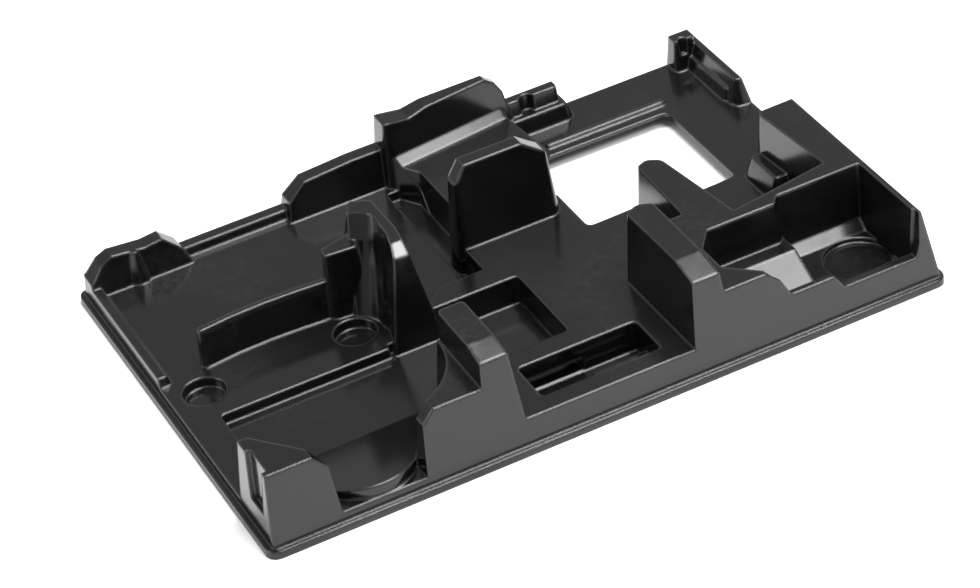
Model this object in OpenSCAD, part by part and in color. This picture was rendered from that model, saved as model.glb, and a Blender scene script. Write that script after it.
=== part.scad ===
// Tool case insert: a one-piece moulded tray, open underneath, that holds a hand tool and its accessories.
// The outer form is a set of drafted blocks and pockets; the same set, moved inwards by the wall, is cut out.

/* [Body] */
// Length of the tray along its front edge
tray_l = 380; // [300:1:460]
// Depth of the tray from front to back
tray_w = 256; // [200:1:320]
// Thickness of the moulded wall
wall = 2; // [1.2:0.1:3]
// Lean of the outer walls from upright, in degrees
draft = 5; // [2:0.5:8]
// Lean of the right-hand outer wall, in degrees
end_draft = 10; // [4:0.5:14]
// Radius of the upright corners of blocks and pockets
corner_r = 2.5; // [1:0.5:6]

/* [Rim] */
// Thickness of the lip that runs round the foot
lip_h = 4; // [2:0.5:8]
// How far the lip stands out from the walls
lip_out = 3; // [1:0.5:6]
// Radius of the lip at its four corners
lip_r = 6; // [3:0.5:12]

/* [Levels] */
// Height of the low floor at the left and back
floor_z = 9; // [6:0.5:14]
// Height of the bead round the low floor
bead_z = 14; // [10:0.5:20]
// Height of the middle deck
deck_z = 19; // [15:0.5:26]
// Height of the shelf behind the upright block
shelf_z = 24; // [20:0.5:30]
// Height of the large flat blocks
block_z = 45; // [38:0.5:54]
// Height of the upright block in the middle
stop_z = 67; // [58:0.5:76]

/* [Ridges] */
// Height of the left ridge
left_ridge_z = 62; // [54:0.5:70]
// Height of the right ridge and the hooked wall
right_ridge_z = 60; // [52:0.5:68]
// Height of the sloping fillets at the foot of the cradle and of the pocket's far wall
fillet = 5; // [2:0.5:8]
// Height lost along the sloping front cap of a ridge
cap_drop = 5; // [2:0.5:10]
// Height of the thin curved wall
arc_wall_z = 31.5; // [24:0.5:40]
// Height of the step at the end of the curved wall
arc_step_z = 47; // [36:0.5:54]
// Thickness of the thin curved wall at its top
arc_wall_t = 3.6; // [2:0.2:6]

/* [Tabs] */
// Height of the left tab
left_tab_z = 28; // [20:0.5:36]
// Height of the second tab
second_tab_z = 31; // [22:0.5:40]
// Height of the tall cradle at the back
cradle_z = 49; // [40:0.5:58]
// Height of the small hook
hook_z = 27.5; // [20:0.5:36]
// Height of the post at the back right corner
post_z = 28; // [20:0.5:36]
// Height of the ridge along the right edge
side_ridge_z = 23.5; // [18:0.5:30]

/* [Pockets] */
// Height of the floor of the large front pocket
front_pocket_z = 3.3; // [2.5:0.1:6]
// Height of the raised front end of that floor
front_ramp_z = 15; // [11:0.5:20]
// Radius of the round front end of that floor
front_arc_r = 27.5; // [20:0.5:34]
// Radius of the round side wall at the right of that pocket
side_round_r = 42; // [34:0.5:50]
// Height of the floor of the slot in the deck
slot_z = 2.5; // [2.1:0.1:5]
// Height of the raised end of the slot
slot_step_z = 8; // [5:0.5:12]
// Height of the floor of the right-hand pocket
right_pocket_z = 9; // [6:0.5:14]
// Height of the ledge in the right-hand pocket
ledge_z = 21.5; // [16:0.5:26]
// Radius of the round recess in the right-hand pocket
recess_r = 18; // [12:0.5:21]
// Depth of the round recess
recess_depth = 2.5; // [1:0.5:5]
// Radius of the two finger wells
well_r = 11.5; // [8:0.5:15]
// Depth of the two finger wells
well_depth = 5.5; // [3:0.5:6.5]

/* [Look] */
// Colour of the moulded plastic
plastic_colour = "#1c1d1f";

/* [Hidden] */
$fn = 96;
corner_steps = 3;
over = 1;
tiny = 0.3;
tall = stop_z + corner_r;
chamfer = block_z * 0.16;
lean = tan(draft);
end_lean = tan(end_draft);

// Outlines: each corner has a share of the tray's length, one of its depth and one of the corner radius
far_share = 1.1;
near_share = -0.1;

// Turns a table of corner shares into places in mm
function placed(t) = [for (p = t) [p[0] * tray_l, p[1] * tray_w, p[2] * corner_r]];
function flat(p) = [p[0], p[1]];
function unit(v) = v / norm(v);
function right_of(a, b) = let (u = unit(b - a)) [u[1], -u[0]];
function mean(t) = [for (k = [0 : 1]) [for (p = t) 1] * [for (p = t) p[k]] / len(t)];

// Where a form starts: at the foot, or a little below it for the space inside
function base(d) = d > 0 ? -over : 0;

// One corner of an outline after it is moved outwards by d, as an arc of a few steps
function corner(a, p, b, r, d, steps) =
    let (m = right_of(a, p), n = right_of(p, b), k = 1 + m * n)
    let (turn = cross(m, n), side = turn < 0 ? -1 : 1)
    let (rr = r == 0 ? 0 : max(tiny, r + side * d), c = p + (d - side * rr) * (m + n) / k)
    let (start = atan2(side * m[1], side * m[0]), sweep = atan2(turn, m * n), last = r == 0 ? 0 : steps)
    [for (i = [0 : last]) let (a = start + sweep * i / max(1, last)) c + rr * [cos(a), sin(a)]];

// A whole outline, given anticlockwise, moved outwards by d
function moved(pts, d, steps = corner_steps) =
    let (n = len(pts))
    [for (i = [0 : n - 1])
        each corner(flat(pts[(i + n - 1) % n]), flat(pts[i]), flat(pts[(i + 1) % n]), pts[i][2], d, steps)];

// A solid through rings of one outline: each ring is a height and the distance the outline is moved out there
module loft(pts, rings, hub) {
    loops = [for (g = rings) moved(pts, g[1])];
    n = len(loops[0]);
    last = len(rings) - 1;
    middle = is_undef(hub) ? mean(pts) : hub;
    points = concat(
        [for (k = [0 : last]) for (p = loops[k]) [p[0], p[1], rings[k][0]]],
        [[middle[0], middle[1], rings[0][0]], [middle[0], middle[1], rings[last][0]]]
    );
    foot = n * (last + 1);
    sides = [for (k = [0 : last - 1]) for (i = [0 : n - 1]) let (j = (i + 1) % n)
        each [[k * n + i, k * n + n + i, k * n + n + j], [k * n + i, k * n + n + j, k * n + j]]];
    caps = [for (i = [0 : n - 1]) let (j = (i + 1) % n)
        each [[foot, i, j], [foot + 1, last * n + j, last * n + i]]];
    polyhedron(points = points, faces = concat(sides, caps));
}

// A drafted block whose outline is given at its top; d is how far its faces are set back for the inner form
module block(t, top, d, slope = draft, hub) {
    low = base(d);
    place = is_undef(hub) ? undef : [hub[0] * tray_l, hub[1] * tray_w];
    loft(placed(t), [[low, (top - d - low) * tan(slope) - d], [top - d, -d]], place);
}

// A drafted pocket whose outline is given at its rim; for the inner form it is wider and deeper by d
module pocket(t, rim, bottom, d, slope = draft, hub) {
    place = is_undef(hub) ? undef : [hub[0] * tray_l, hub[1] * tray_w];
    up = rim + over;
    loft(placed(t), [[bottom - d, d - (rim - bottom + d) * tan(slope)], [up, d + over * tan(slope)]], place);
}

// A wall whose outline changes from its foot, at one height, to its top; its right-hand corners come first
right_corners = 4;

module leaning(foot_t, top_t, foot_z, top_z, d) {
    foot = moved(placed(foot_t), -d);
    top = moved(placed(top_t), -d);
    low = base(d);
    n = len(foot);
    function at(i, z) = foot[i] + (top[i] - foot[i]) * (z - foot_z) / (top_z - foot_z);
    heights = [low, top_z - d];
    points = [for (z = heights) for (i = [0 : n - 1]) [at(i, z)[0], at(i, z)[1], z]];
    sides = [for (i = [0 : n - 1]) let (j = (i + 1) % n) each [[i, n + i, n + j], [i, n + j, j]]];
    zip = zipped(n, corner_steps, right_corners * (corner_steps + 1));
    caps = [for (f = zip) each [f, [n + f[0], n + f[2], n + f[1]]]];
    polyhedron(points = points, faces = concat(sides, caps));
}

// Triangles across a bent outline, from its inner side, counted down from point a, to its outer side
function zipped(n, a, m) =
    let (steps = n - 2, k = n - m - 1)
    [for (s = [0 : steps - 1])
        let (i = floor(s * k / steps + 0.5), u = floor((s + 1) * k / steps + 0.5), j = s - i)
        u > i ? [(a - i + n) % n, a + 1 + j, (a - u + n) % n] : [(a - i + n) % n, a + 1 + j, a + 2 + j]];

// The four corners of an upright rectangle, as shares
function rect(x0, x1, y0, y1, r = 1) = [[x0, y0, r], [x1, y0, r], [x1, y1, r], [x0, y1, r]];

// A prism along the depth of the tray with its outline in the upright plane: share of length, height
module upright(t, span, d) {
    pts = [for (p = t) [p[0] * tray_l, p[1], 0]];
    translate([0, span[1] * tray_w, 0])
        rotate([90, 0, 0])
            linear_extrude(height = (span[1] - span[0]) * tray_w)
                polygon(moved(pts, -d));
}

// A prism along the length of the tray with its outline in the side plane: share of depth, height
module sideways(t, span) {
    translate([span[0] * tray_l, 0, 0])
        rotate([90, 0, 90])
            linear_extrude(height = (span[1] - span[0]) * tray_l)
                polygon([for (p = t) [p[0] * tray_w, p[1]]]);
}

// Everything below the four outer walls, which lean inwards, the right one more than the others
module envelope(d) {
    in = lip_out + d;
    low = base(d);
    back = tray_w - in;
    foot = [[in, in, corner_r], [tray_l, in, corner_r], [tray_l, back, corner_r], [in, back, corner_r]];
    right = tray_l - in + lip_h * end_lean;
    end = [[0, low], [right - low * end_lean, low], [right - tall * end_lean, tall], [0, tall]];
    intersection() {
        loft(foot, [[low, -low * lean], [tall, -tall * lean]]);
        translate([0, tray_w, 0])
            rotate([90, 0, 0])
                linear_extrude(height = tray_w)
                    polygon(end);
    }
}

// Low floor, beads and middle deck with the pockets sunk into them
low_share = rect(near_share, far_share, near_share, far_share);
deck_front_share = [[0.373, near_share, 1], [0.72, near_share, 1], [0.72, 0.496, 1],
    [0.405, 0.496, 1], [0.373, 0.45, 1]];
deck_back_share = rect(0.4735, 0.72, 0.4, 0.64);
left_bead_share = rect(near_share, 0.024, 0.575, far_share, 0.5);
back_bead_share = rect(0.1, 0.35, 0.957, far_share, 0.5);
hole_bead_share = rect(0.695, 0.885, 0.853, 0.865, 0.4);
groove_share = rect(0.4535, 0.51, 0.44, 0.905, 0.8);
long_pocket_share = rect(0.055, 0.505, 0.1, 0.42, 1);
deck_pocket_share = rect(0.3, 0.505, 0.218, 0.438, 1);
slot_share = rect(0.411, 0.587, 0.0625, 0.168, 1);
slot_step_share = rect(0.503, 0.6, 0.05, 0.125, 1);
hole_share = [[0.637, 0.502, 1.4], [0.73, 0.505, 0.4], [0.78, 0.526, 0.4], [0.878, 0.53, 1.4],
    [0.878, 0.822, 1.4], [0.684, 0.825, 1.4], [0.637, 0.66, 1.4]];
well_share = [[0.058, 0.51], [0.28, 0.51]];
bead_draft = 20;
rim_draft = 30;

module low_parts(d) {
    difference() {
        union() {
            difference() {
                block(low_share, floor_z, d);
                pocket(groove_share, floor_z, front_pocket_z, d);
            }
            block(deck_front_share, deck_z, d);
            block(deck_back_share, deck_z, d);
            block(left_bead_share, bead_z, d, bead_draft);
            block(back_bead_share, bead_z, d, bead_draft);
            if (d == 0) block(hole_bead_share, floor_z + wall, d, rim_draft);
        }
        pocket(long_pocket_share, floor_z, front_pocket_z, d);
        pocket(deck_pocket_share, deck_z, front_pocket_z, d);
        difference() {
            pocket(slot_share, deck_z, slot_z, d);
            block(slot_step_share, slot_step_z, d);
        }
        wells(d);
        round_recess(d);
    }
}

// Shallow round recess in the floor of the right-hand pocket
module round_recess(d) {
    translate([recess_share[0] * tray_l, recess_share[1] * tray_w, right_pocket_z - recess_depth - d])
        cylinder(r = recess_r + d, h = recess_depth + d + over);
}

module wells(d) {
    for (p = well_share)
        translate([p[0] * tray_l, p[1] * tray_w, floor_z - well_depth - d])
            cylinder(r1 = well_r + d - well_depth * lean, r2 = well_r + d, h = well_depth + d + over);
}

// Front left: corner post, floor ramp with its round end, and the flat block beside the left ridge
post_share = [[near_share, near_share, 1], [0.1, near_share, 1], [0.1, 0.03, 1], [0.0775, 0.07, 1],
    [0.032, 0.155, 1], [near_share, 0.155, 1]];
post_cut_share = [0.083, 0.101, 0.4];
post_recess_share = rect(near_share, 0.025, 0.042, 0.117, 0.4);
side_block_share = rect(0.236, 0.345, near_share, 0.213, 1);
side_cut_share = [0.252, 0.234, 0.2];
side_round_share = [0.208, 0.211];
ramp_share = [0.17, 0.129];
ramp_end_share = 0.086;
ramp_slope_share = [0.03, 0.229];
ramp_span_share = [0.06, 0.33];

// Takes the sloping corner off a block: its place at the top, its place lower down, and its far end
module top_corner(cut, d) {
    a = [cut[0] * tray_l, block_z];
    v = [(cut[1] - cut[0]) * tray_l, -chamfer];
    n = unit([cut[0] < cut[1] ? chamfer : -chamfer, abs(v[0])]);
    high = a - v - n * d;
    deep = a + 2 * v - n * d;
    translate([0, cut[2] * tray_w, 0])
        rotate([90, 0, 0])
            linear_extrude(height = (cut[2] - near_share) * tray_w)
                polygon([high, deep, [deep[0], high[1]]]);
}

module post_block(d) {
    difference() {
        block(post_share, block_z, d);
        top_corner(post_cut_share, d);
        pocket(post_recess_share, block_z, deck_z, d);
    }
}

module side_block(d) {
    difference() {
        block(side_block_share, block_z, d);
        top_corner(side_cut_share, d);
        translate([side_round_share[0] * tray_l, side_round_share[1] * tray_w, -over])
            cylinder(
                r1 = side_round_r + d - (block_z + over) * lean,
                r2 = side_round_r + d + over * lean,
                h = block_z + 2 * over
            );
    }
}

module ramp(d) {
    low = base(d);
    s = ramp_slope_share;
    top = front_ramp_z - d;
    slope = [[near_share, low], [s[1], low], [s[1], front_pocket_z - d], [s[0], top], [near_share, top]];
    high = front_ramp_z;
    end = [[ramp_end_share, low], [far_share, low], [far_share, high], [ramp_end_share, high]];
    intersection() {
        sideways(slope, ramp_span_share);
        union() {
            translate([ramp_share[0] * tray_l, ramp_share[1] * tray_w, low])
                cylinder(r1 = front_arc_r - d + high * lean, r2 = front_arc_r - d, h = high - low);
            sideways(end, ramp_span_share);
        }
    }
}

module front_left(d) {
    post_block(d);
    side_block(d);
    ramp(d);
}

// The two ridges with a sloping cap at their front ends
left_ridge_share = rect(0.325, 0.363, near_share, 0.215, 1);
right_ridge_share = [[0.632, near_share, 1], [0.67, near_share, 1], [0.67, 0.291, 1],
    [0.65, 0.305, 2], [0.63, 0.291, 1]];
left_cap_share = [0.086, 0.25, 0.45];
right_cap_share = [0.1, 0.55, 0.75];
drop_at_end = cap_drop * 2.2;

// One ridge: its cap starts at a share of the depth and spans two shares of the length
module ridge(t, top, cap, d) {
    high = tall + over;
    bend = cap[0];
    slope = [[near_share, top - d - drop_at_end], [bend, top - d], [bend, high], [near_share, high]];
    difference() {
        block(t, top, d);
        sideways(slope, [cap[1], cap[2]]);
    }
}

module ridges(d) {
    ridge(left_ridge_share, left_ridge_z, left_cap_share, d);
    ridge(right_ridge_share, right_ridge_z, right_cap_share, d);
}

// Right-hand plateau with its finger, its end platform and the stepped pocket
plateau_share = [[0.66, near_share, 1], [far_share, near_share, 1], [far_share, 0.285, 1],
    [0.93, 0.285, 1], [0.77, 0.248, 1], [0.66, 0.25, 1]];
finger_share = [[0.7, 0.1, 1], [0.79, 0.1, 1], [0.775, 0.24, 2], [0.764, 0.37, 2],
    [0.753, 0.49, 2.4], [0.735, 0.507, 1.6], [0.718, 0.496, 1], [0.713, 0.3, 1]];
slot_end_share = rect(0.66, 0.72, 0.1, 0.297, 1);
platform_share = [[0.933, 0.2, 1], [far_share, 0.2, 1], [far_share, 0.524, 1], [0.917, 0.52, 1]];
step_block_share = rect(0.899, 0.93, 0.41, 0.51, 0.6);
right_pocket_share = [[0.745, 0.03, 0.6], [0.966, 0.03, 1], [0.966, 0.242, 0.6], [0.836, 0.242, 1],
    [0.826, 0.221, 0.6], [0.722, 0.221, 1], [0.697, 0.172, 1], [0.697, 0.1, 1]];
right_pocket_hub_share = [0.84, 0.12];
ledge_share = rect(0.6, 0.8365, near_share, 0.4, 1);
ledge_slope_share = [0.176, 0.11];
ledge_span_share = [0.6, 0.9];
step_draft = 20;
sill_z = deck_z + wall * 0.4;
sill_share = [0.737, 0.757, 0.77, 0.835, 0.849, 0.959, 0.966, 0.97];
recess_share = [0.914, 0.135];

module right_parts(d) {
    difference() {
        union() {
            block(plateau_share, block_z, d);
            block(finger_share, block_z, d);
            block(slot_end_share, block_z, d);
            block(platform_share, block_z, d);
            block(step_block_share, ledge_z, d, step_draft);
        }
        difference() {
            pocket(right_pocket_share, block_z, right_pocket_z, d, draft, right_pocket_hub_share);
            ledge(d);
            if (d == 0) pocket_fillet();
        }
        front_opening(d);
        round_recess(d);
    }
}

// The ledge at the far left of the right-hand pocket, sloping down towards the front
module ledge(d) {
    near = ledge_slope_share[1];
    far = ledge_slope_share[0];
    low = -2 * over;
    behind = [[near, low], [far_share, low], [far_share, tall], [far, tall]];
    intersection() {
        block(ledge_share, ledge_z, d);
        sideways(concat(behind, [[far, ledge_z - d], [near, right_pocket_z - d]]), ledge_span_share);
    }
}

// Sloping fillet at the foot of that pocket's far wall
pocket_fillet_share = [0.207, 0.232, 0.3];
pocket_fillet_span_share = [0.8, 0.97];

module pocket_fillet() {
    f = pocket_fillet_share;
    top = right_pocket_z + fillet;
    profile = [[f[0], 0], [f[0], right_pocket_z], [f[1], top], [f[2], top], [f[2], 0]];
    sideways(profile, pocket_fillet_span_share);
}

// The stepped edge where the pocket opens through the front wall
opening_depth_share = [-0.155, 0.045];

module front_opening(d) {
    shoulder = block_z - chamfer;
    middle = ledge_z + chamfer * 0.9;
    right = sill_z + chamfer;
    heights = [block_z, shoulder, middle, middle, sill_z, sill_z, right, block_z, tall, tall];
    across = concat(sill_share, [sill_share[7], sill_share[0]]);
    upright([for (i = [0 : len(heights) - 1]) [across[i], heights[i]]], opening_depth_share, -d);
}

// The upright block in the middle and the shelf behind it
stop_share = rect(0.4767, 0.6137, 0.594, 0.627, 0.6);
stop_shoulder_z = stop_z * 0.86;
stop_profile_share = [[0.44, -over], [0.66, -over], [0.66, stop_shoulder_z], [0.613, stop_shoulder_z],
    [0.58, stop_z], [0.492, stop_z], [0.4766, stop_shoulder_z], [0.44, stop_shoulder_z]];
stop_span_share = [0.5, 0.7];
shelf_share = [[0.5, 0.6, 1], [0.62, 0.6, 1], [0.668, 0.79, 1], [0.66, 0.93, 1], [0.66, far_share, 1],
    [0.47, far_share, 1], [0.474, 0.918, 1], [0.497, 0.858, 1], [0.497, 0.745, 1]];
shelf_hub_share = [0.56, 0.86];
cradle_foot_share = [[0.475, 0.916, 1], [0.66, 0.949, 1], [0.66, far_share, 1], [0.475, far_share, 1]];
fillet_draft = 45;

module middle_parts(d) {
    intersection() {
        block(stop_share, stop_z, d);
        upright(stop_profile_share, stop_span_share, d);
    }
    block(shelf_share, shelf_z, d, draft, shelf_hub_share);
    if (d == 0)
        intersection() {
            block(shelf_share, shelf_z + fillet, d, draft, shelf_hub_share);
            block(cradle_foot_share, shelf_z + fillet, d, fillet_draft);
        }
}

// Tabs along the back wall
left_tab_share = rect(near_share, 0.16, 0.945, far_share, 0.6);
left_tab_profile_share = [[near_share, -over], [0.2, -over], [0.166, floor_z * 0.6],
    [0.15, left_tab_z * 0.67], [0.126, left_tab_z * 0.97], [0.1, left_tab_z * 0.93], [0.05, left_tab_z],
    [0.033, left_tab_z * 0.89], [0.016, left_tab_z * 0.62], [near_share, left_tab_z * 0.5]];
tab_rib_share = rect(0.079, 0.086, 0.936, far_share, 0.4);
second_tab_share = rect(0.3, 0.5, 0.945, far_share, 0.6);
second_tab_profile_share = [[0.3, -over], [0.6, -over], [0.6, second_tab_z], [0.42, second_tab_z],
    [0.345, second_tab_z * 0.94], [0.317, second_tab_z * 0.65], [0.312, floor_z], [0.3, floor_z]];
cradle_share = [[0.47, 0.921, 1], [0.68, 0.958, 1], [0.68, far_share, 1], [0.47, far_share, 1]];
cradle_profile_share = [[0.4, -over], [0.69, -over], [0.671, shelf_z], [0.664, cradle_z * 0.77],
    [0.654, cradle_z * 0.91], [0.638, cradle_z], [0.54, cradle_z], [0.51, cradle_z * 0.955],
    [0.476, cradle_z], [0.4, cradle_z]];
hook_share = rect(0.665, 0.75, 0.955, far_share, 0.5);
hook_step_share = rect(0.667, 0.757, 0.935, far_share, 0.8);
corner_post_share = rect(0.943, 0.975, 0.948, far_share, 0.6);
side_ridge_share = rect(0.974, far_share, 0.765, far_share, 0.6);
side_step_share = rect(0.964, far_share, 0.785, 0.95, 0.6);
hook_notch_share = [0.7, 0.95];
post_notch_share = [0.9555, 0.947];
notch_r = 1.6 * corner_r;
hook_step_z = (hook_z + floor_z) / 2;
post_step_z = (post_z + floor_z) / 2;
side_step_z = (side_ridge_z + floor_z) / 2;
back_span_share = [0.85, far_share];
tab_draft = 15;
second_tab_draft = 10;
side_draft = 18;

// A round notch let down into the front of a hook or post
module notch(place, r, bottom, d) {
    translate([place[0] * tray_l, place[1] * tray_w, bottom - d])
        cylinder(r1 = r + d, r2 = r + d + tall * lean, h = tall);
}

module profiled(t, profile, top, slope, d) {
    intersection() {
        block(t, top, d, slope);
        upright(profile, back_span_share, d);
    }
}

module back_parts(d) {
    profiled(left_tab_share, left_tab_profile_share, left_tab_z, tab_draft, d);
    profiled(tab_rib_share, left_tab_profile_share, left_tab_z, tab_draft, d);
    profiled(second_tab_share, second_tab_profile_share, second_tab_z, second_tab_draft, d);
    profiled(cradle_share, cradle_profile_share, cradle_z, draft, d);
    block(hook_step_share, hook_step_z, d, step_draft);
    difference() {
        block(hook_share, hook_z, d);
        notch(hook_notch_share, notch_r, hook_step_z, d);
    }
    difference() {
        block(corner_post_share, post_z, d);
        notch(post_notch_share, notch_r / 2, post_step_z, d);
    }
    block(side_ridge_share, side_ridge_z, d, side_draft);
    block(side_step_share, side_step_z, d, side_draft);
}

// Thin curved wall, its step and the hooked wall
arc_path_share = [[0.084, 0.588], [0.13, 0.596], [0.18, 0.5985], [0.22, 0.596], [0.28, 0.59]];
wall_foot_share = [[0.311, 0.419, 0.4], [0.38, 0.419, 0.4], [0.382, 0.523, 1], [0.381, 0.664, 1],
    [0.31, 0.687, 1], [0.295, 0.555, 1], [0.309, 0.54, 2], [0.318, 0.511, 2], [0.321, 0.475, 1]];
wall_top_share = [[0.3365, 0.4465, 0.4], [0.3555, 0.445, 0.4], [0.364, 0.523, 1], [0.363, 0.637, 1],
    [0.336, 0.6585, 1], [0.323, 0.6235, 0.4], [0.3355, 0.613, 1], [0.3505, 0.592, 2], [0.3485, 0.521, 1]];
wall_cap_share = [0.437, 0.475];
wall_span_share = [0.2, 0.5];
step_share = [[0.272, 0.582, 0.6], [0.318, 0.576, 0.6], [0.33, 0.63, 0.6], [0.276, 0.61, 0.6]];

module rib(path, half, top, slope, d) {
    low = base(d);
    h = top - d - low;
    t = max(tiny * 4, half - d);
    for (i = [0 : len(path) - 2]) {
        a = [path[i][0] * tray_l, path[i][1] * tray_w];
        b = [path[i + 1][0] * tray_l, path[i + 1][1] * tray_w];
        n = right_of(a, b) * t;
        loft([for (p = [a + n, b + n, b - n, a - n]) [p[0], p[1], 0]], [[low, h * tan(slope)], [top - d, 0]]);
    }
    for (p = path)
        translate([p[0] * tray_l, p[1] * tray_w, low])
            cylinder(r1 = t + h * tan(slope), r2 = t, h = h);
}

module curved_walls(d) {
    rib(arc_path_share, arc_wall_t / 2, arc_wall_z, draft * 0.7, d);
    top = right_ridge_z - d;
    bend = wall_cap_share[1];
    cap = [[near_share, top - 4 * cap_drop], [wall_cap_share[0], top - cap_drop], [bend, top], [bend, tall]];
    difference() {
        leaning(wall_foot_share, wall_top_share, floor_z, right_ridge_z, d);
        sideways(concat(cap, [[near_share, tall]]), wall_span_share);
    }
    block(step_share, arc_step_z, d);
}

// The whole form; with d above zero it is the space inside the walls
module form(d) {
    intersection() {
        envelope(d);
        union() {
            low_parts(d);
            front_left(d);
            ridges(d);
            right_parts(d);
            middle_parts(d);
            back_parts(d);
            curved_walls(d);
        }
    }
}

// The rectangular opening cut through the sheet
module cut_out() {
    translate([0, 0, -over])
        linear_extrude(height = block_z)
            polygon(moved(placed(hole_share), 0));
}

module lip() {
    foot = [[0, 0, lip_r], [tray_l, 0, lip_r], [tray_l, tray_w, lip_r], [0, tray_w, lip_r]];
    difference() {
        loft(foot, [[0, 0], [lip_h, -lip_h * lean]]);
        translate([lip_out + wall, lip_out + wall, -over])
            cube([tray_l - 2 * (lip_out + wall), tray_w - 2 * (lip_out + wall), lip_h + 2 * over]);
    }
}

module insert_tray() {
    color(plastic_colour)
        translate([-tray_l / 2, -tray_w / 2, 0]) {
            difference() {
                form(0);
                form(wall);
                cut_out();
            }
            lip();
        }
}

insert_tray();
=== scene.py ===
"""Moulded tool case insert: black plastic sheet, soft studio light and a camera at the photographed angle."""

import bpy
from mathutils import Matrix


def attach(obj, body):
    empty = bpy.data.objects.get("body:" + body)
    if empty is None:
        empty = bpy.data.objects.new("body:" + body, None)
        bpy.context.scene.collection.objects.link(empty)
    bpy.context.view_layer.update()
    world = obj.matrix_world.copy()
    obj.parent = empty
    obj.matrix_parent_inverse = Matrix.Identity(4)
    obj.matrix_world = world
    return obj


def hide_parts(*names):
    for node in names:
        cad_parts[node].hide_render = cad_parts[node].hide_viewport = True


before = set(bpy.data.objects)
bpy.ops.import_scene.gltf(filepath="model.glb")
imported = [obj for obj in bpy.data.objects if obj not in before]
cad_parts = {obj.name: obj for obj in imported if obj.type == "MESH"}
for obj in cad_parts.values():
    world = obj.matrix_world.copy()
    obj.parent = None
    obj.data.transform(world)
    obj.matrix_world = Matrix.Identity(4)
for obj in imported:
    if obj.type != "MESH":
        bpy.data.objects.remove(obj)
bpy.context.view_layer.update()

import math

import bmesh
import bpy
from bpy.props import FloatProperty, FloatVectorProperty, PointerProperty
from mathutils import Matrix, Vector

bl_info = {
    "name": "Tool Case Insert",
    "version": (1, 0, 0),
    "blender": (4, 5, 0),
    "location": "3D View > Sidebar > Insert",
    "description": "Finishes the moulded insert tray of a tool case and sets it in a plain studio",
    "category": "Add Mesh",
}

# Points this close are one, and faces that bend less than this are one flat face
SAME_POINT = 4e-6
FLAT = math.radians(0.6)

# Two faces are shaded as one curve if they bend less than a facet, or less than a step beside a small face
FACET = math.radians(5)
CORNER_STEP = math.radians(32)
SMALL_FACE = 60e-6

# Sizes of the patterns in the plastic, and how far they raise it
WAVE_SIZE = 0.045
WAVE_HEIGHT = 0.0006
CLOUD_SIZE = 0.06
FLECK_SIZE = 0.0035
PRINT_HEIGHT = 0.00008

# Rays that find the rounding of an edge, and how much a large face outweighs a small one at a shared corner
ROUNDING_RAYS = 6
LARGE_FACE_WEIGHT = 60

FLOOR_HALF = 6.0
FLOOR_ROUGHNESS = 0.8
SENSOR = 36
FAR_CLIP = 30

# Each light's place, the point that it faces, and its width and height
LAMPS = {
    "top_light": ((0.35, 0.045, 1.4), (0.1, 0, 0), (0.7, 0.85)),
    "side_light": ((-1.3, 0.3, 0.7), (0, 0, 0), (0.7, 0.7)),
    "front_light": ((0.5, -0.75, 1.25), (0.05, 0, 0), (0.65, 0.45)),
}


class Sock:
    """A number inside a material, with the usual arithmetic."""

    def __init__(self, tree, value):
        self.tree, self.value = tree, value

    def _op(self, kind, *values):
        if all(isinstance(v, (int, float)) for v in values):
            raise ValueError("numbers alone are worked out in Python")
        return node(self.tree, "ShaderNodeMath", {"operation": kind}, {i: v for i, v in enumerate(values)})

    def __add__(self, other):
        return self._op("ADD", self, other)

    __radd__ = __add__

    def __sub__(self, other):
        return self._op("SUBTRACT", self, other)

    def __rsub__(self, other):
        return self._op("SUBTRACT", other, self)

    def __mul__(self, other):
        return self._op("MULTIPLY", self, other)

    __rmul__ = __mul__

    def smooth(self, low, high):
        """0 below low, 1 above high, and a smooth step between them."""
        return node(
            self.tree,
            "ShaderNodeMapRange",
            {"interpolation_type": "SMOOTHSTEP", "clamp": True},
            {"Value": self, "From Min": low, "From Max": high},
        )


def node(tree, kind, settings=None, values=None, out=0):
    """Adds one node: its settings first, then the values or links of its sockets, and returns one output."""
    made = tree.nodes.new(kind)
    for key, value in (settings or {}).items():
        setattr(made, key, value)
    for key, value in (values or {}).items():
        if isinstance(value, Sock):
            tree.links.new(value.value, made.inputs[key])
        else:
            made.inputs[key].default_value = value
    return Sock(tree, made.outputs[out]) if len(made.outputs) else None


def blend_colours(tree, factor, first, second):
    """Mixes two colours by a factor."""
    sockets = {0: factor, 6: first, 7: second}
    return node(tree, "ShaderNodeMix", {"data_type": "RGBA"}, sockets, out=2)


class InsertSettings(bpy.types.PropertyGroup):
    """Finish of the moulded tray."""

    fillet: FloatProperty(
        name="Fillet",
        description="Radius that the mould leaves where two faces of the sheet meet",
        default=0.0024,
        min=0.0,
        max=0.006,
        unit="LENGTH",
    )
    plastic: FloatVectorProperty(
        name="Plastic",
        description="Colour of the moulded plastic",
        default=(0.004, 0.004, 0.0044),
        subtype="COLOR",
        min=0,
        max=1,
    )
    haze: FloatVectorProperty(
        name="Haze",
        description="Colour of the plastic where handling has dulled it",
        default=(0.01, 0.01, 0.011),
        subtype="COLOR",
        min=0,
        max=1,
    )
    # Painted highlight: a lighter colour laid along the edges, standing in for the lights that the rounded
    # edges catch
    edge: FloatVectorProperty(
        name="Edges",
        description="Colour of the plastic where its edges are rubbed",
        default=(0.035, 0.035, 0.038),
        subtype="COLOR",
        min=0,
        max=1,
    )
    gloss: FloatProperty(
        name="Roughness",
        description="Roughness of the clean plastic",
        default=0.16,
        min=0.05,
        max=0.9,
    )
    grain: FloatProperty(
        name="Grain",
        description="Distance between the fine bumps that the mould prints on the sheet",
        default=0.0011,
        min=0.0002,
        max=0.004,
        unit="LENGTH",
    )


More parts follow.
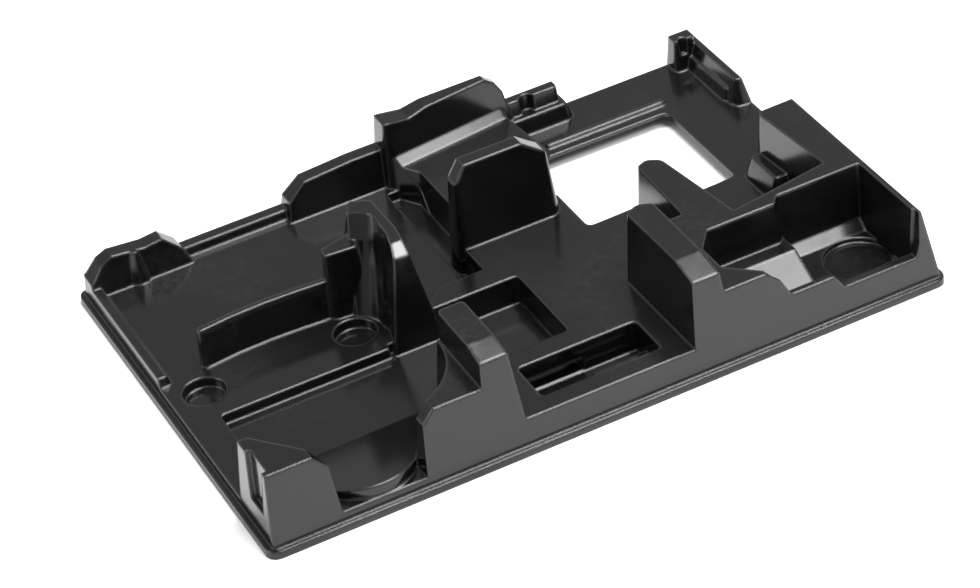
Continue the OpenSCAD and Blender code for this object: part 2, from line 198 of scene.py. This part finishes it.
class StudioSettings(bpy.types.PropertyGroup):
    """Camera, floor and lights."""

    azimuth: FloatProperty(
        name="Azimuth",
        description="Camera's turn round the tray",
        default=math.radians(-21.9006),
        subtype="ANGLE",
    )
    elevation: FloatProperty(
        name="Elevation",
        description="Camera's height above the horizon",
        default=math.radians(36.272),
        subtype="ANGLE",
    )
    roll: FloatProperty(
        name="Roll",
        description="Camera's tilt about its own axis",
        default=math.radians(8.205),
        subtype="ANGLE",
    )
    place: FloatVectorProperty(
        name="Camera place",
        description="Where the camera stands",
        default=(-0.5515, -1.3516, 1.0707),
        unit="LENGTH",
    )
    lens: FloatProperty(
        name="Lens",
        description="Focal length in mm on a 36 mm sensor",
        default=128.23,
        min=20,
        max=300,
    )
    floor: FloatVectorProperty(
        name="Floor",
        description="Colour of the floor",
        default=(0.9, 0.9, 0.9),
        subtype="COLOR",
        min=0,
        max=1,
    )
    top_light: FloatProperty(
        name="Top light",
        description="Power of the soft light above the tray",
        default=37.0,
        min=0,
    )
    side_light: FloatProperty(
        name="Side light",
        description="Power of the soft light at the left",
        default=8.0,
        min=0,
    )
    front_light: FloatProperty(
        name="Front light",
        description="Power of the soft light high in front, at the right",
        default=11.0,
        min=0,
    )
    ambient: FloatProperty(
        name="Ambient",
        description="Strength of the even white light all round",
        default=0.44,
        min=0,
    )


def moulded_plastic(settings):
    """Black moulded plastic with the mould's fine print, slow waves, haze from handling, and a painted
    highlight along every edge.
    """
    mat = bpy.data.materials.new("moulded_plastic")
    mat.use_nodes = True
    tree = mat.node_tree
    tree.nodes.clear()
    where = node(tree, "ShaderNodeTexCoord", out=3)

    def noise(size, detail=2.0, rough=0.5):
        values = {"Vector": where, "Scale": 1.0 / size, "Detail": detail, "Roughness": rough}
        return node(tree, "ShaderNodeTexNoise", {"noise_dimensions": "3D"}, values)

    def raised(height, strength, distance, under):
        values = {"Strength": strength, "Distance": distance, "Height": height, "Normal": under}
        return node(tree, "ShaderNodeBump", None, values)

    wave = noise(WAVE_SIZE, 1.0)
    cloud = noise(CLOUD_SIZE, 4.0, 0.6)
    fleck = noise(FLECK_SIZE, 3.0, 0.6)
    print_of_mould = noise(settings.grain, 2.0, 0.6)
    turned = node(tree, "ShaderNodeBevel", {"samples": ROUNDING_RAYS}, {"Radius": settings.fillet})
    flat = node(tree, "ShaderNodeNewGeometry", out=1)
    # Painted highlight: where the rounded normal of an edge turns away from the flat one, the sheet gets the
    # lighter edge colour
    alike = node(tree, "ShaderNodeVectorMath", {"operation": "DOT_PRODUCT"}, {0: turned, 1: flat}, out=1)
    painted_bright = (1.0 - alike).smooth(0.015, 0.22)
    handled = cloud.smooth(0.46, 0.72) * fleck.smooth(0.3, 0.75)
    sheet = blend_colours(tree, handled * 0.8, (*settings.plastic, 1), (*settings.haze, 1))
    colour = blend_colours(tree, painted_bright, sheet, (*settings.edge, 1))
    rough = handled * 0.1 + cloud * 0.06 + (settings.gloss - 0.03)
    slow = raised(wave, 0.25, WAVE_HEIGHT, turned)
    fine = raised(print_of_mould, 0.12, PRINT_HEIGHT, slow)
    shader = node(
        tree,
        "ShaderNodeBsdfPrincipled",
        None,
        {"Base Color": colour, "Roughness": rough, "IOR": 1.5, "Normal": fine},
    )
    node(tree, "ShaderNodeOutputMaterial", None, {"Surface": shader})
    return mat


def plain(name, colour, rough):
    """A matt material with faint mottling, for the floor."""
    mat = bpy.data.materials.new(name)
    mat.use_nodes = True
    tree = mat.node_tree
    tree.nodes.clear()
    where = node(tree, "ShaderNodeTexCoord", out=3)
    mottle = node(tree, "ShaderNodeTexNoise", None, {"Vector": where, "Scale": 3.0, "Detail": 2.0})
    shade = blend_colours(tree, mottle, (*colour, 1), (*(c * 0.985 for c in colour), 1))
    shader = node(tree, "ShaderNodeBsdfPrincipled", None, {"Base Color": shade, "Roughness": rough})
    node(tree, "ShaderNodeOutputMaterial", None, {"Surface": shader})
    return mat


def joined_copy(source, name):
    """A copy of a solid's loose triangles, merged into clean flat faces."""
    mesh = source.data.copy()
    mesh.name = name
    bm = bmesh.new()
    bm.from_mesh(mesh)
    bmesh.ops.remove_doubles(bm, verts=bm.verts, dist=SAME_POINT)
    bmesh.ops.dissolve_limit(bm, angle_limit=FLAT, verts=bm.verts, edges=bm.edges, delimit=set())
    bm.normal_update()
    for face in bm.faces:
        face.smooth = True
    for edge in bm.edges:
        bend = edge.calc_face_angle(0)
        small = min(face.calc_area() for face in edge.link_faces)
        edge.smooth = bend < FACET or (bend < CORNER_STEP and small < SMALL_FACE)
    bm.to_mesh(mesh)
    bm.free()
    piece = bpy.data.objects.new(name, mesh)
    bpy.context.scene.collection.objects.link(piece)
    return piece


def applied(piece):
    """Turns what the modifiers show into the piece's own mesh."""
    bpy.context.view_layer.update()
    shown = piece.evaluated_get(bpy.context.evaluated_depsgraph_get())
    mesh = bpy.data.meshes.new_from_object(shown)
    piece.modifiers.clear()
    piece.data = mesh
    return piece


class INSERT_OT_tray(bpy.types.Operator):
    """Make the moulded tray and its plastic"""

    bl_idname = "insert.tray"
    bl_label = "Insert tray"

    def execute(self, context):
        settings = context.scene.insert_tray
        piece = joined_copy(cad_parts["insert_tray"], "moulded_tray")
        weighted = piece.modifiers.new("even_faces", "WEIGHTED_NORMAL")
        weighted.keep_sharp = True
        weighted.weight = LARGE_FACE_WEIGHT
        applied(piece)
        piece.data.materials.clear()
        piece.data.materials.append(moulded_plastic(settings))
        if not piece.data.polygons:
            raise RuntimeError("the tray has no faces")
        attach(piece, "root")
        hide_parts("insert_tray")
        return {"FINISHED"}


def soft_light(name, place, target, size, power):
    """A large rectangular light that faces a point."""
    data = bpy.data.lights.new(name, "AREA")
    data.shape = "RECTANGLE"
    data.size, data.size_y = size
    data.energy = power
    lamp = bpy.data.objects.new(name, data)
    lamp.location = place
    lamp.rotation_euler = (Vector(target) - Vector(place)).to_track_quat("-Z", "Y").to_euler()
    bpy.context.scene.collection.objects.link(lamp)
    return lamp


class INSERT_OT_studio(bpy.types.Operator):
    """Set up the floor, the lights and the camera"""

    bl_idname = "insert.studio"
    bl_label = "Studio"

    def execute(self, context):
        scene, settings = context.scene, context.scene.insert_studio
        scene.view_settings.view_transform = "Standard"
        world = bpy.data.worlds.new("even_light")
        scene.world = world
        world.use_nodes = True
        background = world.node_tree.nodes["Background"]
        background.inputs[0].default_value = (1, 1, 1, 1)
        background.inputs[1].default_value = settings.ambient
        mesh = bpy.data.meshes.new("studio_floor")
        corners = [(x * FLOOR_HALF, y * FLOOR_HALF, 0) for x, y in ((-1, -1), (1, -1), (1, 1), (-1, 1))]
        mesh.from_pydata(corners, [], [(0, 1, 2, 3)])
        ground = bpy.data.objects.new("studio_floor", mesh)
        scene.collection.objects.link(ground)
        mesh.materials.append(plain("studio_floor", settings.floor, FLOOR_ROUGHNESS))
        for name, (place, target, size) in LAMPS.items():
            soft_light(name, place, target, size, getattr(settings, name))
        data = bpy.data.cameras.new("photo_camera")
        data.sensor_width = SENSOR
        data.lens = settings.lens
        data.clip_end = FAR_CLIP
        camera = bpy.data.objects.new("photo_camera", data)
        turn = Matrix.Rotation(settings.azimuth, 4, "Z")
        tip = Matrix.Rotation(math.pi / 2 - settings.elevation, 4, "X")
        roll = Matrix.Rotation(-settings.roll, 4, "Z")
        camera.matrix_world = Matrix.Translation(Vector(settings.place)) @ turn @ tip @ roll
        scene.collection.objects.link(camera)
        scene.camera = camera
        return {"FINISHED"}


class INSERT_PT_panel(bpy.types.Panel):
    """Lists the tray's settings and its steps"""

    bl_idname = "INSERT_PT_panel"
    bl_label = "Tool Case Insert"
    bl_space_type = "VIEW_3D"
    bl_region_type = "UI"
    bl_category = "Insert"

    def draw(self, context):
        layout = self.layout
        for group in (context.scene.insert_tray, context.scene.insert_studio):
            box = layout.box()
            for name in group.__annotations__:
                box.prop(group, name)
        layout.operator("insert.tray")
        layout.operator("insert.studio")


CLASSES = (InsertSettings, StudioSettings, INSERT_OT_tray, INSERT_OT_studio, INSERT_PT_panel)


def register():
    for cls in CLASSES:
        bpy.utils.register_class(cls)
    bpy.types.Scene.insert_tray = PointerProperty(type=InsertSettings)
    bpy.types.Scene.insert_studio = PointerProperty(type=StudioSettings)


def unregister():
    del bpy.types.Scene.insert_studio
    del bpy.types.Scene.insert_tray
    for cls in reversed(CLASSES):
        bpy.utils.unregister_class(cls)


def main():
    register()
    bpy.ops.insert.tray()
    bpy.ops.insert.studio()


if __name__ == "__main__":
    main()
